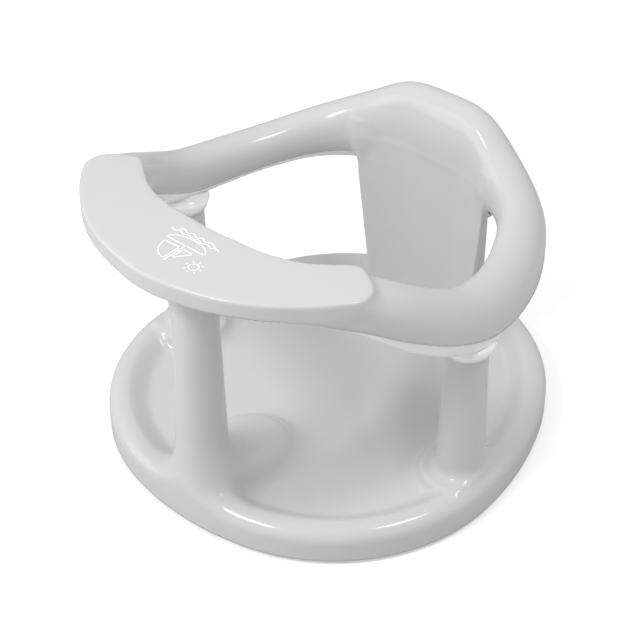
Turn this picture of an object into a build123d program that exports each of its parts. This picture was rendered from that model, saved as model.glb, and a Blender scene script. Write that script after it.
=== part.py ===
"""Baby bath ring: a seat that stands on the floor of a bath tub.

A moulded base carries three hollow posts and a wide rear post. A hollow ring sits on them. Its upper
shell holds the play tray and the backrest, and its lower shell closes it from below. Four suction cups
under the base grip the tub.

Millimetres. The baby faces -Y, +Z is up and Z = 0 is the floor of the tub. The origin is at the middle
of the whole object's length and width.
"""

import os
from collections import namedtuple
from math import atan2, cos, degrees, radians, sin, sqrt

from build123d import *

os.makedirs("parts", exist_ok=True)

# Overall sizes
overall_length = 375.0
base_width = 337.0
tray_overhang = 20.5
wall = 2.6
seat_gap = 0.3

# Plan of the base, an egg of tangent arcs with its blunt end at the front
front_arc = 243.0
corner_arc = 149.5
side_arc = 266.5

# Rim and pan of the base
skirt_bottom = 3.5
rim_top = 30.0
rim_round = 12.0
rim_width = 17.0
pan_floor = 19.0
pan_slope = 15.0
pan_round = 9.0
root_level = 10.0
cutter_overrun = 3.0

# Pommel between the baby's legs, a mound that falls away to the back
pommel_setback = 34.5
pommel_half_width = 37.0
pommel_half_length = 54.0
pommel_top = 41.0
pommel_tilt = 8.0
pommel_draw_in = 13.0
pommel_round = 9.0

# Posts
front_post_inset = 25.5
front_post_foot = 20.6
front_post_head = 15.6
side_post_inset = 29.0
side_post_y = -11.0
side_post_foot = 18.5
side_post_head = 15.5
pad_radius = 29.0
pad_spread = 5.0
foot_round = 6.0
spigot_radius = 6.0
spigot_length = 10.0

# Waist ring, laid out round the upright axis that the backrest is curved about
ring_axis_y = -26.0
tray_half_width = 33.0
tray_top = 241.0
tray_thickness = 19.0
tray_squareness = 3.0
tube_half_width = 19.0
tube_roundness = 2.2
keel_roundness = 1.8
hump_roundness = 2.0
tube_lean = 5.0
back_radius = 168.0
back_bottom = 149.0
hump_top = 228.0
side_top = 187.0
side_bottom = 141.5
tube_cut = 35.0
tray_cut = 45.0
cut_gap = 1.0
lip_step = 0.8
lower_wall = 2.2
curve_points = 15
fit_gap = 0.05

# Pegs of the upper shell, pressed into sockets of the lower shell
peg_radius = 3.0
peg_socket_radius = 5.2
peg_socket_height = 10.0
peg_tip_height = 4.5
peg_end_gap = 1.0
peg_stations = (10, 12)

# Sockets of the lower shell, with a collar round each side post
socket_wall = 2.2
collar_lift = 1.5
collar_foot_radius = 18.0
collar_radius = 20.5
collar_height = 7.5
collar_neck_radius = 12.5
collar_neck_height = 11.0
post_cover = 5.0

# Backrest panel and the rear post behind it
panel_recess = 0.8
panel_depth = 7.0
panel_top = 185.0
panel_top_half_width = 62.0
panel_top_level = 146.0
panel_foot_half_width = 49.0
rear_post_half_width = 56.0
rear_post_depth = 9.0
rear_post_top = 172.0

# Suction cups and the bosses that hold them
suction_side_inset = 76.5
suction_front_inset = 82.0
suction_rear_inset = 92.5
suction_radius = 26.0
suction_lip = 3.5
suction_shoulder_radius = 7.5
suction_height = 9.2
suction_neck = 4.0
suction_head = 6.5
suction_head_height = 3.0
suction_wall = 2.2
suction_bulge = 1.6
boss_radius = 9.2
boss_bore = 7.0
boss_bottom = 9.5
boss_collar = 2.5
boss_hole = 4.4

# Ribs under the pan
rib_width = 2.0
rib_bottom = 11.0

# Worked out from the sizes above
half_length = overall_length / 2
base_front = tray_overhang - half_length
corner_x = base_width / 2 - corner_arc
front_centre_y = base_front + front_arc
widest_y = front_centre_y - sqrt((front_arc - corner_arc) ** 2 - corner_x**2)
side_x = base_width / 2 - side_arc
rear_span = half_length - widest_y
rear_arc = (side_arc**2 - side_x**2 - rear_span**2) / (2 * (side_arc - rear_span))
rear_centre_y = half_length - rear_arc
front_post_y = base_front + front_post_inset
side_post_x = base_width / 2 - side_post_inset
pommel_y = front_post_y + pommel_setback
tray_radius = half_length + ring_axis_y - tray_half_width
tray_bottom = tray_top - tray_thickness
collar_bottom = side_bottom + collar_lift
suction_x = base_width / 2 - suction_side_inset
suction_front_y = base_front + suction_front_inset
suction_rear_y = half_length - suction_rear_inset

# One row for each place where the ring's section changes, from the back round to the front
Station = namedtuple("Station", "angle radius half_width top bottom upper_roundness lower_roundness lean cut")
stations = [
    Station(0, back_radius, tube_half_width, hump_top, back_bottom, tube_roundness, hump_roundness,
            0, tube_cut),
    Station(12, back_radius + 1, tube_half_width, hump_top - 1.5, back_bottom, tube_roundness, hump_roundness,
            1, tube_cut),
    Station(24, back_radius + 1, tube_half_width, hump_top - 18, back_bottom - 1, tube_roundness,
            keel_roundness, 3, tube_cut),
    Station(36, back_radius - 1, tube_half_width, side_top + 9, back_bottom - 3, tube_roundness,
            keel_roundness, 4, tube_cut),
    Station(52, side_post_x + 16.5, tube_half_width, side_top, side_bottom + 1.5, tube_roundness,
            keel_roundness, tube_lean, tube_cut),
    Station(68, side_post_x + 7.5, tube_half_width, side_top, side_bottom, tube_roundness,
            keel_roundness, tube_lean, tube_cut),
    Station(84, side_post_x + 2, tube_half_width, side_top + 7, side_bottom + 3.5, tube_roundness,
            keel_roundness, tube_lean, tube_cut),
    Station(99, side_post_x, tube_half_width, tray_top - 30, tray_top - 81, tube_roundness,
            keel_roundness, tube_lean, tube_cut),
    Station(113, side_post_x - 1.5, tube_half_width + 1, tray_top - 13.5, tray_top - 60, 2.4,
            keel_roundness, 4, tube_cut),
    Station(126, side_post_x - 3, tube_half_width + 3, tray_top - 2, tray_top - 36, 2.6, 2.0, 2, 38),
    Station(140, side_post_x - 4, tube_half_width + 4.5, tray_top, tray_bottom - 1, tray_squareness,
            2.4, 0, 42),
    Station(154, tray_radius + 3.5, tray_half_width - 4.5, tray_top, tray_bottom + 4, tray_squareness,
            tray_squareness, 0, tray_cut),
    Station(168, tray_radius, tray_half_width - 1, tray_top, tray_bottom + 1.5, tray_squareness,
            tray_squareness, 0, tray_cut),
    Station(180, tray_radius, tray_half_width, tray_top, tray_bottom, tray_squareness,
            tray_squareness, 0, tray_cut),
]


def base_outline(inset, height):
    """The egg-shaped plan of the base, drawn in all round by inset, as a sketch at a height."""
    corner_turn = degrees(atan2(widest_y - front_centre_y, corner_x))
    rear_turn = degrees(atan2(rear_centre_y - widest_y, -side_x))
    with BuildSketch(Plane.XY.offset(height)) as plan:
        with BuildLine():
            CenterArc((0, front_centre_y), front_arc - inset, -90, corner_turn + 90)
            CenterArc((corner_x, widest_y), corner_arc - inset, corner_turn, -corner_turn)
            CenterArc((side_x, widest_y), side_arc - inset, 0, rear_turn)
            CenterArc((0, rear_centre_y), rear_arc - inset, rear_turn, 90 - rear_turn)
            mirror(about=Plane.YZ)
        make_face()
    return plan.sketch


def signed_power(value, power):
    """A power that keeps the sign of its base."""
    return abs(value) ** power * (1 if value >= 0 else -1)


def section_points(station, inset, first, last):
    """Points of a station's rounded outline, drawn in by inset, from one angle round to another."""
    half_width = station.half_width - inset
    half_height = (station.top - station.bottom) / 2 - inset
    middle = (station.top + station.bottom) / 2
    points = []
    for step in range(curve_points):
        angle = radians(first + (last - first) * step / (curve_points - 1))
        power = 2 / (station.upper_roundness if sin(angle) >= 0 else station.lower_roundness)
        across = half_width * signed_power(cos(angle), power) - station.lean * sin(angle)
        height = half_height * signed_power(sin(angle), power)
        points.append((station.radius + across, middle + height))
    return points


def ring_section(station, turn, upper):
    """The cut face of one ring shell at a station, on an upright plane through the ring's axis."""
    angle = radians(turn)
    outward = (sin(angle), cos(angle), 0)
    plane = Plane(origin=(0, ring_axis_y, 0), x_dir=outward, z_dir=(cos(angle), -sin(angle), 0))
    if upper:
        ends = (180 + station.cut, -station.cut)
        outer = section_points(station, 0, *ends)
        inner = section_points(station, wall, *ends)
    else:
        ends = (-180 + station.cut + cut_gap, -station.cut - cut_gap)
        outer = section_points(station, lip_step, *ends)
        inner = section_points(station, lip_step + lower_wall, *ends)
    with BuildSketch(plane) as section:
        with BuildLine():
            over = Spline(*outer)
            under = Spline(*inner)
            Line(over @ 0, under @ 0)
            Line(over @ 1, under @ 1)
        make_face()
    return section.sketch


def ring_half(upper):
    """The +X half of one ring shell, lofted a little past both ends so that the halves join smoothly."""
    turns = [-stations[1].angle] + [s.angle for s in stations] + [360 - stations[-2].angle]
    rows = [stations[1]] + stations + [stations[-2]]
    with BuildPart() as half:
        for row, turn in zip(rows, turns):
            add(ring_section(row, turn, upper))
        loft()
        split(bisect_by=Plane.YZ, keep=Keep.TOP)
    return half.part


def front_post(skin):
    """The tapered round post under the tray with a spigot on its head, or its core."""
    with BuildPart() as solid:
        with Locations((0, front_post_y, root_level)):
            rise = front_shoulder - skin - root_level
            Cone(front_post_foot - skin, front_post_head - skin, rise, align=standing)
            Cylinder(spigot_radius - skin, rise + spigot_length, align=standing)
    return solid.part


def side_post(skin):
    """The tapered round post on the +X side with a rounded foot and a spigot, or its core."""
    shoulder = side_shoulder - skin
    tip = side_shoulder + spigot_length - skin
    foot_level = rim_top + foot_round
    foot_edge = side_post_foot + foot_round
    with BuildPart() as solid:
        with BuildSketch(Plane.XZ.offset(-side_post_y)):
            with BuildLine():
                CenterArc((foot_edge, foot_level), foot_round + skin, 180, 90)
                Polyline(
                    (side_post_foot - skin, foot_level), (side_post_head - skin, shoulder),
                    (spigot_radius - skin, shoulder), (spigot_radius - skin, tip), (0, tip),
                    (0, root_level), (foot_edge, root_level), (foot_edge, rim_top - skin),
                )
            make_face()
        revolve(axis=Axis((0, side_post_y, 0), (0, 0, 1)))
    return solid.part.moved(Location((side_post_x, 0, 0)))


def pommel(skin):
    """The rounded mound that runs back from the front post between the legs."""
    top = Plane(origin=(0, pommel_y, pommel_top - skin)).rotated((-pommel_tilt, 0, 0))
    with BuildPart() as solid:
        with BuildSketch(Plane((0, pommel_y, root_level))):
            Ellipse(pommel_half_width - skin, pommel_half_length - skin)
        with BuildSketch(top):
            Ellipse(pommel_half_width - pommel_draw_in - skin, pommel_half_length - pommel_draw_in - skin)
        loft()
        fillet(solid.edges().sort_by(Axis.Z)[-1], pommel_round - skin)
    return solid.part


def curved_slab(inner_radius, outer_radius, bottom, top):
    """A full upright tube about the ring's axis, from which curved walls are cut."""
    with BuildPart() as slab:
        with BuildSketch(Plane.XY.offset(bottom)):
            with Locations((0, ring_axis_y)):
                Circle(outer_radius)
                Circle(inner_radius, mode=Mode.SUBTRACT)
        extrude(amount=top - bottom)
    return slab.part


def upright_prism(corners):
    """An outline seen from the front, carried back through the rear half of the object."""
    with BuildPart() as prism:
        with BuildSketch(Plane.XZ):
            with BuildLine():
                Polyline(*corners, close=True)
            make_face()
        extrude(amount=-half_length)
    return prism.part


def rear_post(skin):
    """The wide curved post behind the backrest panel, or its core."""
    half_width = rear_post_half_width - skin
    top = rear_post_top - skin
    outline = [(-half_width, root_level), (half_width, root_level), (half_width, top), (-half_width, top)]
    with BuildPart() as solid:
        add(curved_slab(rear_post_front + skin, rear_post_back - skin, root_level, top))
        add(upright_prism(outline), mode=Mode.INTERSECT)
    return solid.part


def backrest_half():
    """The +X half of the curved panel below the hump, a shallow channel open to the back."""
    def outline(inset):
        return [
            (-panel_foot_half_width + inset, panel_foot), (panel_foot_half_width - inset, panel_foot),
            (panel_top_half_width - inset, panel_top_level), (panel_top_half_width - inset, panel_top),
            (-panel_top_half_width + inset, panel_top), (-panel_top_half_width + inset, panel_top_level),
        ]

    with BuildPart() as hollow:
        add(curved_slab(
            panel_front_radius + wall, panel_back_radius + cutter_overrun,
            panel_foot - cutter_overrun, panel_top + cutter_overrun,
        ))
        add(upright_prism(outline(wall)), mode=Mode.INTERSECT)
    with BuildPart() as panel:
        add(curved_slab(panel_front_radius, panel_back_radius, panel_foot, panel_top))
        add(upright_prism(outline(0)), mode=Mode.INTERSECT)
        add(hollow.part, mode=Mode.SUBTRACT)
        split(bisect_by=Plane.YZ, keep=Keep.TOP)
    return panel.part


def pan_recess(skin):
    """The dish of the base, left full where the side posts stand on their pads."""
    slope = degrees(atan2(pan_slope, rim_top - pan_floor))
    with BuildPart() as recess:
        add(base_outline(rim_width + pan_slope - skin, pan_floor - skin))
        extrude(amount=rim_top - pan_floor + cutter_overrun, taper=-slope)
        fillet(recess.edges().group_by(Axis.Z)[0], pan_round + skin)
        with Locations(*[(x, side_post_y, rim_top - skin) for x in (-side_post_x, side_post_x)]):
            Cone(pad_radius + pad_spread - skin, pad_radius - pad_spread - skin, 2 * (rim_top - pan_floor),
                 mode=Mode.SUBTRACT)
    return recess.part


def base_form(skin):
    """The whole base at its outer skin (skin 0), or the core that hollows it from below (skin wall)."""
    with BuildPart() as form:
        add(base_outline(skin, skirt_bottom - skin))
        extrude(amount=rim_top - skirt_bottom)
        fillet(form.edges().group_by(Axis.Z)[-1], rim_round - skin)
        add(pan_recess(skin), mode=Mode.SUBTRACT)
        add(pommel(skin))
        add(front_post(skin))
        add(side_post(skin))
        add(mirror(side_post(skin), about=Plane.YZ))
        add(rear_post(skin))
    return form.part


panel_front_radius = back_radius - tube_half_width + panel_recess
panel_back_radius = panel_front_radius + panel_depth
rear_post_front = panel_back_radius + seat_gap
rear_post_back = rear_post_front + rear_post_depth
panel_foot = pan_floor + seat_gap
front_shoulder = tray_bottom + lip_step - seat_gap
side_shoulder = collar_bottom + post_cover
standing = (Align.CENTER, Align.CENTER, Align.MIN)
hanging = (Align.CENTER, Align.CENTER, Align.MAX)
suction_places = [(x, y) for x in (-suction_x, suction_x) for y in (suction_front_y, suction_rear_y)]

with BuildPart() as base_shell:
    add(base_form(0))
    add(base_form(wall), mode=Mode.SUBTRACT)
    pan_underside = pan_floor - wall / 2
    with Locations(*[(x, y, boss_bottom) for x, y in suction_places]):
        Cylinder(boss_radius, pan_underside - boss_bottom, align=standing)
    with Locations(*[(0, y, rib_bottom) for y in (suction_front_y, suction_rear_y)]):
        Box(2 * suction_x, rib_width, pan_underside - rib_bottom, align=standing)
    rib_middle_y = (suction_front_y + suction_rear_y) / 2
    with Locations(*[(x, rib_middle_y, rib_bottom) for x in (-suction_x, suction_x)]):
        Box(rib_width, suction_rear_y - suction_front_y, pan_underside - rib_bottom, align=standing)
    with Locations(*[(x, y, boss_bottom + boss_collar) for x, y in suction_places]):
        Cylinder(boss_bore, pan_floor - wall - boss_bottom - boss_collar, align=standing, mode=Mode.SUBTRACT)
    with Locations(*[(x, y, boss_bottom - cutter_overrun) for x, y in suction_places]):
        Cylinder(boss_hole, boss_collar + 2 * cutter_overrun, align=standing, mode=Mode.SUBTRACT)
base_shell.part.label = "base_shell"
export_step(base_shell.part, "parts/base_shell.step")

peg_rows = [stations[index] for index in peg_stations]
peg_places = [
    (side * row.radius * sin(radians(row.angle)), ring_axis_y + row.radius * cos(radians(row.angle)), row)
    for row in peg_rows for side in (-1, 1)
]

with BuildPart() as ring_upper_shell:
    add(ring_half(True))
    add(backrest_half())
    mirror(about=Plane.YZ)
    for x, y, row in peg_places:
        with Locations((x, y, row.bottom + peg_tip_height)):
            Cylinder(peg_radius, row.top - wall / 2 - row.bottom - peg_tip_height, align=standing)
ring_upper_shell.part.label = "ring_upper_shell"
export_step(ring_upper_shell.part, "parts/ring_upper_shell.step")

with BuildPart() as rear_slot:
    add(curved_slab(panel_front_radius - tube_half_width, rear_post_back + seat_gap, skirt_bottom, hump_top))
    slot_x = panel_top_half_width + seat_gap
    slot_outline = [(-slot_x, skirt_bottom), (slot_x, skirt_bottom), (slot_x, hump_top), (-slot_x, hump_top)]
    add(upright_prism(slot_outline), mode=Mode.INTERSECT)

with BuildPart() as ring_lower_shell:
    add(ring_half(False))
    mirror(about=Plane.YZ)
    add(rear_slot.part, mode=Mode.SUBTRACT)
    with Locations((-side_post_x, side_post_y, collar_bottom), (side_post_x, side_post_y, collar_bottom)):
        Cone(collar_foot_radius, collar_radius, collar_height, align=standing)
    with Locations(
        (-side_post_x, side_post_y, collar_bottom + collar_height),
        (side_post_x, side_post_y, collar_bottom + collar_height),
    ):
        Cone(collar_radius, collar_neck_radius, collar_neck_height - collar_height, align=standing)
    side_heads = [(-side_post_x, side_post_y, side_shoulder), (side_post_x, side_post_y, side_shoulder)]
    heads = side_heads + [(0, front_post_y, front_shoulder)]
    with Locations(*[(x, y, level + seat_gap) for x, y, level in heads]):
        Cylinder(spigot_radius + seat_gap + socket_wall, spigot_length + socket_wall, align=standing)
    with Locations(*[(x, y, level + seat_gap) for x, y, level in side_heads]):
        Cylinder(side_post_head + seat_gap, 2 * post_cover, align=hanging, mode=Mode.SUBTRACT)
    with Locations(*[(x, y, level + seat_gap + spigot_length) for x, y, level in heads]):
        Cylinder(spigot_radius + seat_gap, spigot_length + cutter_overrun, align=hanging, mode=Mode.SUBTRACT)
    for x, y, row in peg_places:
        with Locations((x, y, row.bottom + lip_step + lower_wall / 2)):
            Cylinder(peg_socket_radius, peg_socket_height - lip_step - lower_wall / 2, align=standing)
        with Locations((x, y, row.bottom + peg_tip_height - peg_end_gap)):
            Cylinder(peg_radius + fit_gap, peg_socket_height, align=standing, mode=Mode.SUBTRACT)
ring_lower_shell.part.label = "ring_lower_shell"
export_step(ring_lower_shell.part, "parts/ring_lower_shell.step")

head_bottom = boss_bottom + boss_collar + seat_gap
head_top = head_bottom + suction_head_height
dome_inside = suction_height - suction_wall
with BuildPart() as suction_cup:
    with BuildSketch(Plane.XZ):
        with BuildLine():
            Polyline(
                (0, dome_inside), (0, head_top), (suction_head, head_top), (suction_head, head_bottom),
                (suction_neck, head_bottom), (suction_neck, suction_height),
                (suction_shoulder_radius, suction_height),
            )
            SagittaArc((suction_shoulder_radius, suction_height), (suction_radius, 0), suction_bulge)
            Line((suction_radius, 0), (suction_radius - suction_lip, 0))
            SagittaArc((suction_radius - suction_lip, 0), (suction_neck, dome_inside), -suction_bulge)
            Line((suction_neck, dome_inside), (0, dome_inside))
        make_face()
    revolve(axis=Axis.Z)

for (x, y), place in zip(suction_places, ("front_left", "rear_left", "front_right", "rear_right")):
    with BuildPart() as placed_cup:
        add(suction_cup.part.moved(Location((x, y, 0))))
    placed_cup.part.label = "suction_cup_" + place
    export_step(placed_cup.part, "parts/suction_cup_" + place + ".step")
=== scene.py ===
"""Looks of the baby bath ring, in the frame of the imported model.

Lengths are in millimetres until mesh_piece() turns them into metres. The baby faces -Y, and Z = 0 is
the tub.
"""

import bmesh
import bpy
import numpy as np
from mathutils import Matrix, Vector
from math import asin, atan2, cos, degrees, pi, radians, sin, sqrt


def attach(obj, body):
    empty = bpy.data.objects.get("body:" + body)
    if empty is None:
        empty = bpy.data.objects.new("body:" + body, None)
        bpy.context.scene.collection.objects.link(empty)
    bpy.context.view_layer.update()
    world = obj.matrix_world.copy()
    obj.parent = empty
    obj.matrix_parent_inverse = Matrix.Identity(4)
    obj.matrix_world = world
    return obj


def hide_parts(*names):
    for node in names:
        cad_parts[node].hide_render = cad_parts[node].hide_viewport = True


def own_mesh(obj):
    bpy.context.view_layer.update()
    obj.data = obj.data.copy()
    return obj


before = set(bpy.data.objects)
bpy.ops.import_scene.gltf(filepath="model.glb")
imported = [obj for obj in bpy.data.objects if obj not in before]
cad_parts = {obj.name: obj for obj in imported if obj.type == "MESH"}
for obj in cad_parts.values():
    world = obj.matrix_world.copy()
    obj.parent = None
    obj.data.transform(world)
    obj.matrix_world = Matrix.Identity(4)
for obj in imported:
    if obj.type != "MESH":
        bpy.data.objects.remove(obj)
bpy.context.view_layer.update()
MM = 0.001

# Plan of the base, an egg of tangent arcs, and the level of its parts
BASE_HALF_WIDTH = 168.5
BASE_FRONT = -167.0
BASE_REAR = 187.5
FRONT_ARC = 243.0
CORNER_ARC = 149.5
SIDE_ARC = 266.5
SKIRT_BOTTOM = 3.5
RIM_TOP = 30.0
RIM_ROUND = 12.0
PAN_FLOOR = 19.0
WALL = 2.6

# Posts, mound and pads
FRONT_POST_Y = -141.5
SIDE_POST = (139.5, -11.0)
FRONT_SHOULDER = 222.5
SIDE_SHOULDER = 148.0
FRONT_RADII = (20.4, 15.6)
SIDE_RADII = (18.9, 15.5)
POST_START = 10.0
PAD_RADIUS = 29.0
PAD_FOOT = 38.0
PAD_SLOPE = 0.45
FLARE = [(44, 22), (30, 34), (24, 48), (20, 66)]
FLARE_SETBACK = 8.0
MOUND_Y = -107.0
MOUND_HALF = (37.0, 54.0)
MOUND_TOP = 41.0
MOUND_FALL = 0.14
MOUND_DRAFT = 0.45
MOUND_ROUND = 14.0
MOUND_STACK = [(1.0, 10), (0.85, 34), (0.6, 38)]
SUCTION_X = 92.0
SUCTION_Y = (-85.0, 95.0)
SLOPE_START = 14.0
SLOPE_RUN = 20.0
DEEP = 90.0
BASE_VOXEL = 1.4

# Fillets where the base's forms flow into each other
FRONT_BLEND = 30.0
MOUND_BLEND = 10.0
SIDE_BLEND = 9.0
PAD_BLEND = 8.0
REAR_BLEND = 6.0
SOFT_EDGE = 3.0
CRISP_EDGE = 2.0

# Print on the tray, in millimetres along and outwards from its middle
PRINT_TURN = 180.0
PRINT_REACH = 125.0
PRINT_LIFT = 0.06
STROKE = 0.9
SUN = (-21, 10)
SUN_RADIUS = 3.6
SUN_RAYS = 8
RAY_START = 5.2
RAY_END = 7.0
WAVE_HALF = 22
WAVE_LEVEL = -13.5
WAVE_HEIGHT = 0.9
WAVE_PITCH = 0.75

# Ring, laid out round the upright axis at this y
RING_AXIS_Y = -26.0
STATIONS = [
    # angle, radius, half width, top, bottom, upper roundness, lower roundness, lean, cut
    (0, 168, 19, 228, 149, 2.2, 2.0, 0, 35),
    (12, 169, 19, 226.5, 149, 2.2, 2.0, 1, 35),
    (24, 169, 19, 210, 148, 2.2, 1.8, 3, 33),
    (36, 167, 19, 196, 146, 2.2, 1.8, 4, 29),
    (52, 156, 19, 187, 143, 2.2, 1.8, 5, 24),
    (68, 147, 19, 187, 141.5, 2.2, 1.8, 5, 21),
    (84, 141.5, 19, 194, 145, 2.2, 1.8, 5, 20),
    (99, 139.5, 19, 211, 160, 2.2, 1.8, 5, 20),
    (113, 138, 20, 228.5, 181, 2.6, 1.8, 4, 21),
    (126, 136.5, 22, 239.5, 205, 3.4, 2.0, 2, 25),
    (140, 135.5, 23.5, 240.9, 221, 4.4, 2.4, 0, 36),
    (154, 132, 28.5, 240.9, 226, 4.6, 3.0, 0, 45),
    (168, 128.5, 32, 240.9, 223.5, 4.6, 3.0, 0, 45),
    (180, 128.5, 33, 240.9, 222, 4.6, 3.0, 0, 45),
]
LIP_STEP = 0.8
CUT_GAP = 1.0
LOWER_WALL = 2.2
RING_STEP = 1.0
SLOT_HALF_WIDTH = 62.3
SLOT_BACK = 166.4
PLATE_TURN = 120.5
PLATE_INNER = [(119, 119), (129.5, 114.6), (140, 110), (153, 103.9), (168, 97), (180, 95.5)]
PLATE_TOP = 240.9
PLATE_DEPTH = 12.0
PLATE_ROUND = 3.5
TIP_ROUND = 24.0
INNER_ROUND = 8.0
PLATE_BLEND = 7.0
SKIM_ROUND = 1.5
UPPER_VOXEL = 1.3

# Backrest, curved about the ring's axis, with its half width at rising heights
PANEL_FRONT = 149.8
PANEL_BACK = 156.8
PANEL_FOOT = 19.3
PANEL_TOP = 190.0
PANEL_HALF_WIDTHS = [(PANEL_FOOT, 49), (146, 62), (185, 62)]
PANEL_DIVE = 4.0
DIVE_SPAN = (178.0, 194.0)
PANEL_BLEND = 2.0
PANEL_EDGE_BLEND = 9.0
EDGE_BLEND_SPAN = (46.0, 60.0)

# Rear post: inner and outer distance from the ring's axis, half width, top
REAR_POST = (157.1, 166.1, 56.0, 172.0)


def smooth_table(rows, step):
    """Rows of numbers given at their first column's angles, carried smoothly all the way round."""
    table = np.array(rows, float)
    mirrored = table[1:-1][::-1].copy()
    mirrored[:, 0] = 360 - mirrored[:, 0]
    loop = np.concatenate([table, mirrored])
    knots = np.concatenate([loop[:, 0] - 360, loop[:, 0], loop[:, 0] + 360])
    values = np.tile(loop[:, 1:], (3, 1))
    slopes = np.gradient(values, knots, axis=0)
    turns = np.arange(0, 360 + step / 2, step)
    place = np.searchsorted(knots, turns, side="right") - 1
    gap = (knots[place + 1] - knots[place])[:, None]
    t = (turns - knots[place])[:, None] / gap
    low, high = values[place], values[place + 1]
    smooth = (
        (2 * t**3 - 3 * t**2 + 1) * low
        + (t**3 - 2 * t**2 + t) * gap * slopes[place]
        + (3 * t**2 - 2 * t**3) * high
        + (t**3 - t**2) * gap * slopes[place + 1]
    )
    return turns, smooth


RING_TURNS, RING_TABLE = smooth_table(STATIONS, 0.5)


def ring_values(turns):
    """The ring's sizes at any turns in degrees, one array for each column of the stations."""
    return [np.interp(turns % 360, RING_TURNS, column) for column in RING_TABLE.T]


def ring_rows(turns):
    """The ring's sizes as one row for each turn, with the turn in radians."""
    return list(zip(np.radians(turns), np.stack(ring_values(turns), 1)))


def from_axis(x, y):
    """Distance from the ring's upright axis."""
    return np.hypot(x, y - RING_AXIS_Y)


def turn_of(x, y):
    """The turn about the ring's axis in degrees, 0 at the back."""
    return np.degrees(np.arctan2(x, y - RING_AXIS_Y)) % 360


def section(row, inset, first, last, count):
    """Points (distance from the axis, height) of a ring section drawn in by inset, between two angles."""
    radius, half_width, top, bottom, upper, lower, lean, _ = row
    angle = np.radians(np.linspace(first, last, count))
    power = 2 / np.where(np.sin(angle) >= 0, upper, lower)
    across = (half_width - inset) * np.abs(np.cos(angle)) ** power * np.sign(np.cos(angle))
    height = ((top - bottom) / 2 - inset) * np.abs(np.sin(angle)) ** power * np.sign(np.sin(angle))
    return np.stack([radius + across - lean * np.sin(angle), (top + bottom) / 2 + height], 1)


def swept_ring(outline, first, last, closed):
    """A sweep round the ring's axis between two turns. outline gives the section's points for one row."""
    rows = ring_rows(np.arange(first, last + (0 if closed else RING_STEP / 2), RING_STEP))
    points, faces = [], []
    for turn, row in rows:
        profile = outline(row)
        points += [(r * sin(turn), RING_AXIS_Y + r * cos(turn), height) for r, height in profile]
    count, total = len(profile), len(rows)
    for i in range(total if closed else total - 1):
        for j in range(count):
            k, nxt = (j + 1) % count, (i + 1) % total
            faces.append((i * count + j, i * count + k, nxt * count + k, nxt * count + j))
    if not closed:
        faces += [tuple(range(count)), tuple(reversed(range((total - 1) * count, total * count)))]
    return points, faces


def whole_outline(row):
    """The ring's full rounded section."""
    return section(row, 0, 0, 354, 60)


def channel_outline(row):
    """Section of the lower shell, a channel with an even wall."""
    first, last = -180 + row[7] + CUT_GAP, -row[7] - CUT_GAP
    return np.concatenate(
        [section(row, LIP_STEP, first, last, 40), section(row, LIP_STEP + LOWER_WALL, last, first, 40)]
    )


def rear_strip_outline(row):
    """The part of the channel that runs on behind the rear post."""
    outer = section(row, LIP_STEP, -80, -row[7] - CUT_GAP, 24)
    inner = section(row, LIP_STEP + LOWER_WALL, -row[7] - CUT_GAP, -80, 24)
    both = np.concatenate([outer, inner])
    both[:, 0] = np.maximum(both[:, 0], SLOT_BACK)
    return both


def stacked(rings):
    """A closed skin through rings of points that all have the same count, with its two ends filled."""
    count = len(rings[0])
    points = [p for ring in rings for p in ring]
    faces = []
    for i in range(len(rings) - 1):
        for j in range(count):
            k = (j + 1) % count
            faces.append((i * count + j, i * count + k, (i + 1) * count + k, (i + 1) * count + j))
    faces.append(tuple(reversed(range(count))))
    faces.append(tuple(range((len(rings) - 1) * count, len(rings) * count)))
    return points, faces


def turned(profile, x, y, count=72):
    """A closed solid turned about an upright axis, from (radius, height) points."""
    turns = [2 * pi * k / count for k in range(count)]
    return stacked([[(x + r * cos(t), y + r * sin(t), h) for t in turns] for r, h in profile])


def turned_loop(profile, x, y, count=48):
    """A hollow turned solid: the profile's last point joins its first."""
    points, faces = turned(profile, x, y, count)
    last = (len(profile) - 1) * count
    joins = [(last + j, last + (j + 1) % count, (j + 1) % count, j) for j in range(count)]
    return points, faces[:-2] + joins


def box(low, high):
    """A box between two corners."""
    (x0, y0, z0), (x1, y1, z1) = low, high
    return stacked([[(x0, y0, z), (x1, y0, z), (x1, y1, z), (x0, y1, z)] for z in (z0, z1)])


def mesh_piece(name, *solids):
    """One object from several (points, faces) skins in millimetres."""
    points, faces = [], []
    for some_points, some_faces in solids:
        first = len(points)
        points += [tuple(c * MM for c in p) for p in some_points]
        faces += [tuple(first + i for i in face) for face in some_faces]
    mesh = bpy.data.meshes.new(name)
    mesh.from_pydata(points, [], faces)
    mesh.update()
    piece = bpy.data.objects.new(name, mesh)
    bpy.context.collection.objects.link(piece)
    return piece


def baked(piece):
    """Applies the piece's modifiers to its mesh."""
    bpy.context.view_layer.update()
    seen = piece.evaluated_get(bpy.context.evaluated_depsgraph_get())
    mesh = bpy.data.meshes.new_from_object(seen)
    piece.modifiers.clear()
    piece.data = mesh
    return piece


def places(piece):
    """The piece's points in millimetres."""
    flat = np.empty(len(piece.data.vertices) * 3)
    piece.data.vertices.foreach_get("co", flat)
    return flat.reshape(-1, 3) / MM


def cut_below(piece, height):
    """Takes off what lies below a height."""
    edit = bmesh.new()
    edit.from_mesh(piece.data)
    bmesh.ops.bisect_plane(
        edit, geom=edit.verts[:] + edit.edges[:] + edit.faces[:], dist=1e-6,
        plane_co=(0, 0, height * MM), plane_no=(0, 0, 1), clear_inner=True,
    )
    edit.to_mesh(piece.data)
    edit.free()


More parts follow.
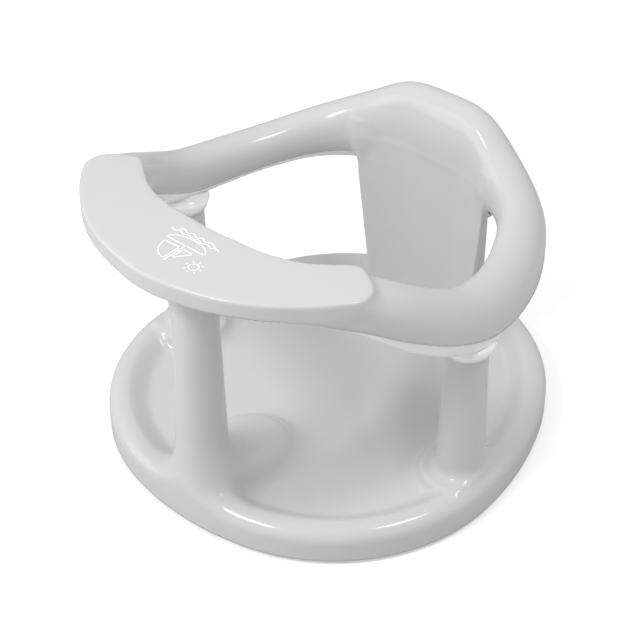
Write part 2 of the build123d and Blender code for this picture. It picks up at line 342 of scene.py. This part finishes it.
def drawn_to(piece, field, voxel, floor=None, rounds=9):
    """Joins the piece's crossing solids into one even skin, drawn on to the surface where field is 0."""
    remesh = piece.modifiers.new("fuse", "REMESH")
    remesh.mode = "VOXEL"
    remesh.voxel_size = voxel * MM
    even = piece.modifiers.new("even", "SMOOTH")
    even.iterations = 2
    baked(piece)
    if floor is not None:
        cut_below(piece, floor)
    points = places(piece)
    reach = 0.05
    for _ in range(rounds):
        value = field(points)
        slope = np.stack([field(points + reach * axis) - value for axis in np.eye(3)], 1) / reach
        steep = np.maximum((slope**2).sum(1), 0.05)
        step = slope * (value / steep)[:, None]
        length = np.linalg.norm(step, axis=1)
        points -= step * np.minimum(1, 2 * voxel / np.maximum(length, 1e-9))[:, None]
    piece.data.vertices.foreach_set("co", (points * MM).ravel())
    piece.data.update()
    return piece


def walled(piece, thickness):
    """Gives an open skin its wall, inwards."""
    hollow = piece.modifiers.new("wall", "SOLIDIFY")
    hollow.thickness = thickness * MM
    hollow.offset = -1
    return baked(piece)


def smooth_min(a, b, blend):
    """Union of two distances with a fillet about as wide as blend."""
    share = np.clip(0.5 + 0.5 * (b - a) / blend, 0, 1)
    return b + (a - b) * share - blend * share * (1 - share)


def smooth_max(a, b, blend):
    """Overlap of two distances with a rounded edge."""
    return -smooth_min(-a, -b, blend)


def ramp(value, low, high):
    """0 below low, 1 above high, smooth between."""
    t = np.clip((value - low) / (high - low), 0, 1)
    return t * t * (3 - 2 * t)


# Materials
def plastic(name, colour, roughness, coat=0.0, wave=0.12):
    """Moulded gloss plastic: a little unevenness in its polish and its skin."""
    material = bpy.data.materials.new(name)
    material.use_nodes = True
    nodes, links = material.node_tree.nodes, material.node_tree.links
    shader = nodes["Principled BSDF"]
    shader.inputs["IOR"].default_value = 1.46
    shader.inputs["Coat Weight"].default_value = coat
    shader.inputs["Coat Roughness"].default_value = 0.08
    place = nodes.new("ShaderNodeTexCoord")

    def noise(scale, detail):
        texture = nodes.new("ShaderNodeTexNoise")
        texture.inputs["Scale"].default_value = scale
        texture.inputs["Detail"].default_value = detail
        links.new(place.outputs["Object"], texture.inputs["Vector"])
        return texture.outputs["Fac"]

    def spread(value, low, high):
        span = nodes.new("ShaderNodeMapRange")
        span.inputs["To Min"].default_value = low
        span.inputs["To Max"].default_value = high
        links.new(value, span.inputs["Value"])
        return span.outputs["Result"]

    tone = nodes.new("ShaderNodeMix")
    tone.data_type = "RGBA"
    tone.inputs[6].default_value = (*[c * 0.985 for c in colour], 1)
    tone.inputs[7].default_value = (*[min(c * 1.015, 1) for c in colour], 1)
    links.new(noise(18, 2), tone.inputs[0])
    links.new(tone.outputs[2], shader.inputs["Base Color"])
    links.new(spread(noise(60, 3), roughness * 0.9, roughness * 1.1), shader.inputs["Roughness"])
    bump = nodes.new("ShaderNodeBump")
    bump.inputs["Strength"].default_value = wave
    bump.inputs["Distance"].default_value = 0.00008
    links.new(noise(420, 2), bump.inputs["Height"])
    links.new(bump.outputs["Normal"], shader.inputs["Normal"])
    return material


grey = plastic("grey_gloss", (0.6, 0.6, 0.605), 0.15, wave=0.04)
pale = plastic("pale_gloss", (0.96, 0.96, 0.96), 0.22, wave=0.04)
rubber = plastic("cup_rubber", (0.80, 0.80, 0.79), 0.45, wave=0.3)
ink = plastic("tray_ink", (0.95, 0.95, 0.95), 0.4)


def finish_piece(piece, name, material, slot_name, body, *nodes):
    """Names, paints and mounts a finished piece."""
    piece.name = name
    piece.data.name = name
    piece.data.materials.clear()
    piece.data.materials.append(material)
    for polygon in piece.data.polygons:
        polygon.use_smooth = True
    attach(piece, body)
    if nodes:
        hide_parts(*nodes)
    return piece


# Base: rim and pan, mound, pads, three posts and the rear post, flowing into each other
CORNER_X = BASE_HALF_WIDTH - CORNER_ARC
FRONT_CENTRE_Y = BASE_FRONT + FRONT_ARC
WIDEST_Y = FRONT_CENTRE_Y - sqrt((FRONT_ARC - CORNER_ARC) ** 2 - CORNER_X**2)
SIDE_X = BASE_HALF_WIDTH - SIDE_ARC
REAR_SPAN = BASE_REAR - WIDEST_Y
REAR_ARC = (SIDE_ARC**2 - SIDE_X**2 - REAR_SPAN**2) / (2 * (SIDE_ARC - REAR_SPAN))
REAR_CENTRE_Y = BASE_REAR - REAR_ARC
FRONT_TURN = atan2(WIDEST_Y - FRONT_CENTRE_Y, CORNER_X)
REAR_TURN = atan2(REAR_CENTRE_Y - WIDEST_Y, -SIDE_X)
EGG_ARCS = [
    # centre x, centre y, radius, first angle, last angle
    (0, FRONT_CENTRE_Y, FRONT_ARC, -pi / 2, FRONT_TURN),
    (CORNER_X, WIDEST_Y, CORNER_ARC, FRONT_TURN, 0),
    (SIDE_X, WIDEST_Y, SIDE_ARC, 0, REAR_TURN),
    (0, REAR_CENTRE_Y, REAR_ARC, REAR_TURN, pi / 2),
]


def egg(inset, height, steps=40):
    """The base's outline drawn in by inset, as a ring of points at a height."""
    half = []
    for x, y, radius, first, last in EGG_ARCS:
        turns = [first + (last - first) * k / steps for k in range(steps)]
        half += [(x + (radius - inset) * cos(t), y + (radius - inset) * sin(t)) for t in turns]
    half.append((0, BASE_REAR - inset))
    return [(x, y, height) for x, y in half + [(-x, y) for x, y in reversed(half[1:-1])]]


def inset_from_edge(x, y):
    """How far inside the base's outline a point lies."""
    inset = np.full(x.shape, DEEP)
    for centre_x, centre_y, radius, first, last in EGG_ARCS:
        turn = np.arctan2(y - centre_y, np.abs(x) - centre_x)
        depth = radius - np.hypot(np.abs(x) - centre_x, y - centre_y)
        nearer = (turn >= first - 0.01) & (turn <= last + 0.01) & (depth < inset)
        inset = np.where(nearer, depth, inset)
    return inset


def rim_field(x, y, z):
    """Distance from the rounded rim and the dished pan."""
    inset = inset_from_edge(x, y)
    share = np.clip((inset - SLOPE_START) / SLOPE_RUN, 0, 1)
    fall = RIM_TOP - PAN_FLOOR
    height = RIM_TOP - fall * share * share * (3 - 2 * share)
    steep = fall * 6 * share * (1 - share) / SLOPE_RUN
    over = (z - height) / np.sqrt(1 + steep**2)
    crest = np.hypot(inset - RIM_ROUND, z - RIM_TOP + RIM_ROUND) - RIM_ROUND
    edge = np.where(z > RIM_TOP - RIM_ROUND, crest, -inset)
    return np.where(inset >= RIM_ROUND, over, edge)


def post_field(x, y, z, place, radii, top):
    """Distance from a tapered round post at a place, with its radii at the pan and at its top."""
    foot, head = radii
    taper = (foot - head) / (top - PAN_FLOOR)
    radius = foot - taper * (z - PAN_FLOOR)
    return smooth_max(np.hypot(x - place[0], y - place[1]) - radius, z - top, 1.0)


def mound_field(x, y, z):
    """Distance from the mound between the legs, which falls away to the back."""
    across, along = x, y - MOUND_Y
    out = np.maximum(np.hypot(across, along), 0.01)
    scaled = np.maximum(np.hypot(across / MOUND_HALF[0], along / MOUND_HALF[1]), 0.01)
    side = out * (1 - 1 / scaled) + MOUND_DRAFT * (z - PAN_FLOOR)
    return smooth_max(side, z - MOUND_TOP + MOUND_FALL * along, MOUND_ROUND)


def rear_post_field(x, y, z):
    """Distance from the wide flat post behind the backrest."""
    inner, outer, half_width, top = REAR_POST
    slab = np.abs(from_axis(x, y) - (inner + outer) / 2) - (outer - inner) / 2
    wall = smooth_max(slab, np.abs(x) - half_width, SOFT_EDGE)
    return smooth_max(np.where(y > 0, wall, DEEP), z - top, CRISP_EDGE)


def base_field(points):
    """Distance from the base's outer skin."""
    x, y, z = points.T
    side_x = np.abs(x)
    inset = inset_from_edge(x, y)
    pad = np.hypot(side_x - SIDE_POST[0], y - SIDE_POST[1]) - PAD_RADIUS - PAD_SLOPE * (RIM_TOP - z)
    pad = smooth_max(pad, np.maximum(z - RIM_TOP, RIM_ROUND - inset), SOFT_EDGE)
    skin = smooth_min(rim_field(x, y, z), pad, PAD_BLEND)
    skin = smooth_min(skin, post_field(side_x, y, z, SIDE_POST, SIDE_RADII, SIDE_SHOULDER), SIDE_BLEND)
    skin = smooth_min(skin, mound_field(x, y, z), MOUND_BLEND)
    front = post_field(x, y, z, (0, FRONT_POST_Y), FRONT_RADII, FRONT_SHOULDER)
    skin = smooth_min(skin, front, FRONT_BLEND)
    return smooth_max(smooth_min(skin, rear_post_field(x, y, z), REAR_BLEND), -inset, CRISP_EDGE)


def curved_wall(inner, outer, half_widths, steps=40):
    """A wall curved about the ring's axis. half_widths are (height, half width) rows from the bottom up."""
    rings = []
    for height, half_width in half_widths:
        front = [half_width * (2 * k / steps - 1) for k in range(steps + 1)]
        ring = [(x, RING_AXIS_Y + sqrt(inner**2 - x**2), height) for x in front]
        ring += [(x, RING_AXIS_Y + sqrt(outer**2 - x**2), height) for x in reversed(front)]
        rings.append(ring)
    return stacked(rings)


def post(radii, shoulder, x, y):
    """A tapered post, rough until the skin is drawn on to its field."""
    return turned([(radii[0], POST_START), (radii[1], shoulder)], x, y)


def mound_ring(share, height):
    """An oval ring of the mound at a height."""
    turns = [k * pi / 36 for k in range(72)]
    half_x, half_y = share * MOUND_HALF[0], share * MOUND_HALF[1]
    return [(half_x * cos(t), MOUND_Y + half_y * sin(t), height) for t in turns]


BELOW = SKIRT_BOTTOM - 4
RIM_STACK = [
    # inset, height
    (0, BELOW), (0, 18), (3.5, 26.5), (12, 30), (16, 30), (25, 25), (34, 19), (60, 19),
]
rim = stacked([egg(inset, height) for inset, height in RIM_STACK])
side_places = [(side * SIDE_POST[0], SIDE_POST[1]) for side in (-1, 1)]
posts = [post(FRONT_RADII, FRONT_SHOULDER, 0, FRONT_POST_Y)]
posts += [post(SIDE_RADII, SIDE_SHOULDER, x, y) for x, y in side_places]
pads = [turned([(PAD_FOOT, POST_START), (PAD_RADIUS, RIM_TOP)], x, y) for x, y in side_places]
flare = turned(FLARE, 0, FRONT_POST_Y + FLARE_SETBACK)
mound = stacked([mound_ring(share, height) for share, height in MOUND_STACK])
rear_wall = curved_wall(*REAR_POST[:2], [(POST_START, REAR_POST[2]), (REAR_POST[3], REAR_POST[2])])
base = mesh_piece("base_skin", rim, *posts, *pads, flare, mound, rear_wall)
drawn_to(base, base_field, BASE_VOXEL, floor=SKIRT_BOTTOM)
walled(base, WALL)

# Bosses that hold the cups, and the ribs between them
BOSS_PROFILE = [(4.4, 10.6), (9.2, 10.6), (9.2, 17.4), (7.0, 17.4), (7.0, 12.0), (4.4, 12.0)]
RIB_HALF = 1
RIB_BOTTOM = 11
RIB_TOP = 17.4
bosses = [turned_loop(BOSS_PROFILE, side * SUCTION_X, y) for side in (-1, 1) for y in SUCTION_Y]
ribs = [
    box((-SUCTION_X, y - RIB_HALF, RIB_BOTTOM), (SUCTION_X, y + RIB_HALF, RIB_TOP))
    for y in SUCTION_Y
]
ribs += [
    box((x - RIB_HALF, SUCTION_Y[0], RIB_BOTTOM), (x + RIB_HALF, SUCTION_Y[1], RIB_TOP))
    for x in (-SUCTION_X, SUCTION_X)
]
under = mesh_piece("base_under", *bosses, *ribs)


# Ring: upper shell with its backrest, and the lower shell with its collars
def parting(turns):
    """Height of the line where the two shells meet, at turns in degrees."""
    _, _, top, bottom, _, lower, _, cut = ring_values(turns)
    return (top + bottom) / 2 - (top - bottom) / 2 * np.sin(np.radians(cut)) ** (2 / lower)


def ring_field(x, y, z):
    """Distance from the ring's rounded tube and tray."""
    radius, half_width, top, bottom, upper, lower, lean, _ = ring_values(turn_of(x, y))
    half_height = (top - bottom) / 2
    up = (z - (top + bottom) / 2) / half_height
    power = np.where(up >= 0, upper, lower)
    shift = lean * np.sign(up) * np.minimum(np.abs(up), 1.2) ** (power / 2)
    out = (from_axis(x, y) - radius + shift) / half_width
    across, along = np.maximum(np.abs(out), 1e-3), np.maximum(np.abs(up), 1e-3)
    size = (across**power + along**power) ** (1 / power)
    steep = np.hypot(across ** (power - 1) / half_width, along ** (power - 1) / half_height)
    steep *= size ** (1 - power)
    return (size - 1) / steep


def panel_half_width(z):
    """Half the backrest's width at a height."""
    return np.interp(z, *zip(*PANEL_HALF_WIDTHS))


def panel_field(x, y, z):
    """Distance from the backrest's front and edges."""
    dive = PANEL_DIVE * ramp(z, *DIVE_SPAN)
    middle, half = (PANEL_FRONT + PANEL_BACK) / 2, (PANEL_BACK - PANEL_FRONT) / 2
    slab = np.abs(from_axis(x, y) - dive - middle) - half
    edges = smooth_max(np.abs(x) - panel_half_width(z), PANEL_FOOT - z, 4.0)
    wall = smooth_max(slab, edges, SOFT_EDGE)
    return smooth_max(wall, np.where(y > 0, z - PANEL_TOP, DEEP), 1.0)


def plate_edges(from_back):
    """Distance of the tray's inner and outer edges from the axis, at angles from the back."""
    radius, half_width = ring_values(from_back)[:2]
    return np.interp(from_back, *zip(*PLATE_INNER)), radius + half_width


def plate_field(x, y, z):
    """Distance from the flat tray, which ends in a rounded tip above each side of the ring."""
    reach = from_axis(x, y)
    from_back = turn_of(np.abs(x), y)
    inner, outer = plate_edges(from_back)
    end = np.radians(PLATE_TURN - from_back) * reach
    plan = smooth_max(smooth_max(reach - outer, end, TIP_ROUND), inner - reach, INNER_ROUND)
    return smooth_max(plan, np.abs(z - PLATE_TOP + PLATE_DEPTH / 2) - PLATE_DEPTH / 2, PLATE_ROUND)


def upper_field(points):
    """Distance from the upper shell's outer skin, kept under the tray's top and inside its outer edge."""
    x, y, z = points.T
    blend = PANEL_BLEND + PANEL_EDGE_BLEND * ramp(np.abs(x), *EDGE_BLEND_SPAN)
    ring = smooth_min(ring_field(x, y, z), plate_field(x, y, z), PLATE_BLEND)
    ring = smooth_max(ring, z - PLATE_TOP, SKIM_ROUND)
    past_edge = from_axis(x, y) - plate_edges(turn_of(np.abs(x), y))[1]
    ring = smooth_max(ring, past_edge, SKIM_ROUND)
    return smooth_min(ring, panel_field(x, y, z), blend)


def tray_plate():
    """The flat tray, rough until the skin is drawn on to its field."""
    turns = np.arange(PLATE_TURN + 1, 360 - PLATE_TURN, 1.0)
    inner, outer = plate_edges(np.minimum(turns, 360 - turns))
    plan = list(zip(turns, inner)) + list(zip(turns[::-1], outer[::-1] - 1))
    return stacked([
        [(r * sin(radians(t)), RING_AXIS_Y + r * cos(radians(t)), z) for t, r in plan]
        for z in (PLATE_TOP - PLATE_DEPTH, PLATE_TOP)
    ])


def snapped(vertex, near=4):
    """Moves a vertex of the cut edge on to the line where the two shells meet, if it is near it."""
    x, y, z = (c / MM for c in vertex.co)
    row = ring_values(turn_of(x, y))
    ends = section(row, 0, -row[7], 180 + row[7], 2)
    out = sqrt(x**2 + (y - RING_AXIS_Y) ** 2)
    best = min(ends, key=lambda end: abs(end[0] - out))
    if abs(best[0] - out) < near and abs(best[1] - z) < near:
        scale = best[0] / out
        vertex.co = (x * scale * MM, (RING_AXIS_Y + (y - RING_AXIS_Y) * scale) * MM, best[1] * MM)


def opened_below(piece):
    """Takes off the upper skin below the line where the shells meet, all but the backrest."""
    points = places(piece)
    x, y, z = points.T
    reach = from_axis(x, y)
    in_panel = (y > 0) & (reach > PANEL_FRONT - 4) & (reach < PANEL_BACK + 1.5)
    in_panel &= np.abs(x) < panel_half_width(z) + 5
    gone = (parting(turn_of(x, y)) > z) & ~in_panel
    edit = bmesh.new()
    edit.from_mesh(piece.data)
    edit.verts.ensure_lookup_table()
    bmesh.ops.delete(edit, geom=[edit.verts[i] for i in np.nonzero(gone)[0]], context="VERTS")
    for vertex in [v for v in edit.verts if v.is_boundary]:
        snapped(vertex)
    edit.to_mesh(piece.data)
    edit.free()


panel = curved_wall(PANEL_FRONT, PANEL_BACK, PANEL_HALF_WIDTHS)
upper = mesh_piece("upper_skin", swept_ring(whole_outline, 0, 360, True), panel, tray_plate())
drawn_to(upper, upper_field, UPPER_VOXEL)
opened_below(upper)
walled(upper, WALL)

SLOT_TURN = degrees(asin(SLOT_HALF_WIDTH / 168))
COLLAR_PROFILE = [
    (16.0, 143), (18.0, 143), (19.2, 146.5), (20.5, 150.5), (18.5, 152.3), (12.5, 154),
    (12.5, 156), (9, 158.5), (8, 158.5), (8, 148.5), (16, 148.3),
]
channel = swept_ring(channel_outline, SLOT_TURN, 360 - SLOT_TURN, False)
strip = swept_ring(rear_strip_outline, -SLOT_TURN, SLOT_TURN, False)
collars = [turned_loop(COLLAR_PROFILE, x, y) for x, y in side_places]
lower = mesh_piece("lower_skin", channel, strip, *collars)

finish_piece(base, "base_skin", grey, "grey_shell", "seat", "base_shell")
finish_piece(under, "base_under", grey, "grey_shell", "seat", "base_shell")
finish_piece(upper, "upper_skin", grey, "grey_shell", "seat", "ring_upper_shell")
finish_piece(lower, "lower_skin", pale, "pale_shell", "seat", "ring_lower_shell")


# Print on the tray: a plain sailing boat of our own, in white strokes
def on_tray(along, out):
    """A point of the print, along and outwards from its middle, a little above the tray."""
    turn = radians(PRINT_TURN)
    x = (PRINT_REACH + out) * sin(turn) + along * cos(turn)
    y = RING_AXIS_Y + (PRINT_REACH + out) * cos(turn) - along * sin(turn)
    return x, y, PLATE_TOP + PRINT_LIFT


def stroke(line, closed=False):
    """A flat painted line through points, as a thin ribbon."""
    line = np.array(line, float)
    ahead = np.roll(line, -1, 0) - np.roll(line, 1, 0) if closed else np.gradient(line, axis=0)
    side = np.stack([-ahead[:, 1], ahead[:, 0]], 1)
    side *= STROKE / 2 / np.maximum(np.linalg.norm(side, axis=1), 1e-9)[:, None]
    points, faces = [], []
    for middle, half in zip(line, side):
        points += [on_tray(*(middle - half)), on_tray(*(middle + half))]
    total = len(line)
    for k in range(total if closed else total - 1):
        nxt = (k + 1) % total
        faces.append((2 * k, 2 * k + 1, 2 * nxt + 1, 2 * nxt))
    return points, faces


def arc(centre, radii, first, last, count=24):
    """Points of an oval arc."""
    turns = np.radians(np.linspace(first, last, count))
    return [(centre[0] + radii[0] * cos(t), centre[1] + radii[1] * sin(t)) for t in turns]


def straight(start, end, count=12):
    """Points of a straight line."""
    start, end = np.array(start), np.array(end)
    return [tuple(start + (end - start) * k / (count - 1)) for k in range(count)]


def wave(row):
    """Points of a wavy line under the boat. The second row is lower and shorter."""
    half = WAVE_HALF - 5 * row
    level = WAVE_LEVEL - 3 * row
    across = np.linspace(-half, half, 60)
    return [(a, level + WAVE_HEIGHT * sin(a * WAVE_PITCH + row)) for a in across]


def ray(turn):
    """Points of one short ray of the sun."""
    across, up = cos(turn), sin(turn)
    start = (SUN[0] + RAY_START * across, SUN[1] + RAY_START * up)
    return straight(start, (SUN[0] + RAY_END * across, SUN[1] + RAY_END * up), 3)


BOAT = [
    # hull and mast, then the large sail and the small one
    arc((0, -4), (17, 8), 180, 360),
    straight((-17, -4), (17, -4)),
    straight((0, -4), (0, 17)),
    arc((2, 0), (13, 15), 0, 90),
    straight((2, 0), (15, 0)),
    straight((2, 0), (2, 15)),
    straight((-2, 0), (-11, 0)),
    straight((-11, 0), (-2, 12)),
    straight((-2, 0), (-2, 12)),
]
strokes = [stroke(line) for line in BOAT]
strokes.append(stroke(arc(SUN, (SUN_RADIUS, SUN_RADIUS), 0, 345), closed=True))
strokes += [stroke(wave(row)) for row in (0, 1)]
strokes += [stroke(ray(2 * pi * k / SUN_RAYS)) for k in range(SUN_RAYS)]
tray_print = mesh_piece("tray_print", *strokes)
finish_piece(tray_print, "tray_print", ink, None, "seat")

# Suction cups: rubber copies of the imported solids, each on a body of its own; the other imported nodes
# get the grey or pale plastic
for name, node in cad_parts.items():
    if name.startswith("suction_cup"):
        cup = bpy.data.objects.new(name + "_soft", node.data.copy())
        bpy.context.collection.objects.link(cup)
        body = name.replace("suction_cup_", "cup_")
        finish_piece(cup, name + "_soft", rubber, "cup_rubber", body, name)
        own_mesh(cup)
    else:
        node.data.materials.clear()
        node.data.materials.append(pale if name == "ring_lower_shell" else grey)


# Floor, light and camera, in metres
FLOOR_HALF = 6
FLOOR_GLOW = 0.42
SURROUND_STRENGTH = 0.6
LIGHT_AIM = Vector((0, 0, 0.12))
LIGHTS = [
    # name, direction it stands in, distance, width, height, brightness
    ("front_box", (-0.15, -0.65, 0.74), 1.5, 0.5, 0.2, 26),
    ("top_box", (0.42, 0.09, 0.88), 1.5, 0.5, 0.18, 20),
    ("left_fill", (-0.7, -0.7, 0.3), 1.8, 1.3, 1.3, 1.6),
]
CAMERA_PLACE = Vector((0.65515, -0.77877, 0.88709))
CAMERA_TARGET = Vector((0.013148, -0.024, 0.111374))
CAMERA_LENS = 93.8
CAMERA_SENSOR = 36.0


def seen_apart(tree, output, bounced, seen):
    """Sends one shader to the light that bounces and another to the camera."""
    path = tree.nodes.new("ShaderNodeLightPath")
    choice = tree.nodes.new("ShaderNodeMixShader")
    tree.links.new(path.outputs["Is Camera Ray"], choice.inputs[0])
    tree.links.new(bounced.outputs[0], choice.inputs[1])
    tree.links.new(seen.outputs[0], choice.inputs[2])
    tree.links.new(choice.outputs[0], tree.nodes[output].inputs["Surface"])


def facing(place, target):
    """The turn that points a lamp or camera at a target."""
    return (target - place).to_track_quat("-Z", "Y").to_euler()


def white_floor():
    """Matt white that glows a little for the camera alone."""
    material = bpy.data.materials.new("floor_white")
    material.use_nodes = True
    tree = material.node_tree
    seen = tree.nodes["Principled BSDF"]
    seen.inputs["Base Color"].default_value = (0.72, 0.72, 0.72, 1)
    seen.inputs["Roughness"].default_value = 0.9
    seen.inputs["Specular IOR Level"].default_value = 0.0
    seen.inputs["Emission Color"].default_value = (1, 1, 1, 1)
    seen.inputs["Emission Strength"].default_value = FLOOR_GLOW
    bounced = tree.nodes.new("ShaderNodeBsdfDiffuse")
    bounced.inputs["Color"].default_value = (0.62, 0.62, 0.62, 1)
    seen_apart(tree, "Material Output", bounced, seen)
    return material


def area_light(name, direction, distance, width, height, radiance):
    """A soft box that stands in a direction from the object, as bright as radiance."""
    data = bpy.data.lights.new(name, "AREA")
    data.shape = "RECTANGLE"
    data.size, data.size_y = width, height
    data.energy = radiance * pi * width * height
    lamp = bpy.data.objects.new(name, data)
    place = Vector(direction).normalized() * distance + LIGHT_AIM
    lamp.location = place
    lamp.rotation_euler = facing(place, LIGHT_AIM)
    bpy.context.collection.objects.link(lamp)


floor_mesh = bpy.data.meshes.new("floor")
corners = [(x * FLOOR_HALF, y * FLOOR_HALF, 0) for x, y in ((-1, -1), (1, -1), (1, 1), (-1, 1))]
floor_mesh.from_pydata(corners, [], [(0, 1, 2, 3)])
floor_mesh.materials.append(white_floor())
floor = bpy.data.objects.new("floor", floor_mesh)
bpy.context.collection.objects.link(floor)

for light in LIGHTS:
    area_light(*light)

world = bpy.data.worlds.new("studio")
world.use_nodes = True
bpy.context.scene.world = world
surround = world.node_tree.nodes["Background"]
surround.inputs["Color"].default_value = (1, 1, 1, 1)
surround.inputs["Strength"].default_value = SURROUND_STRENGTH
white = world.node_tree.nodes.new("ShaderNodeBackground")
white.inputs["Color"].default_value = (1, 1, 1, 1)
white.inputs["Strength"].default_value = 1.0
seen_apart(world.node_tree, "World Output", surround, white)

camera_data = bpy.data.cameras.new("camera")
camera_data.lens = CAMERA_LENS
camera_data.sensor_width = CAMERA_SENSOR
camera = bpy.data.objects.new("camera", camera_data)
camera.location = CAMERA_PLACE
camera.rotation_euler = facing(CAMERA_PLACE, CAMERA_TARGET)
bpy.context.collection.objects.link(camera)
scene = bpy.context.scene
scene.camera = camera
scene.view_settings.view_transform = "Standard"
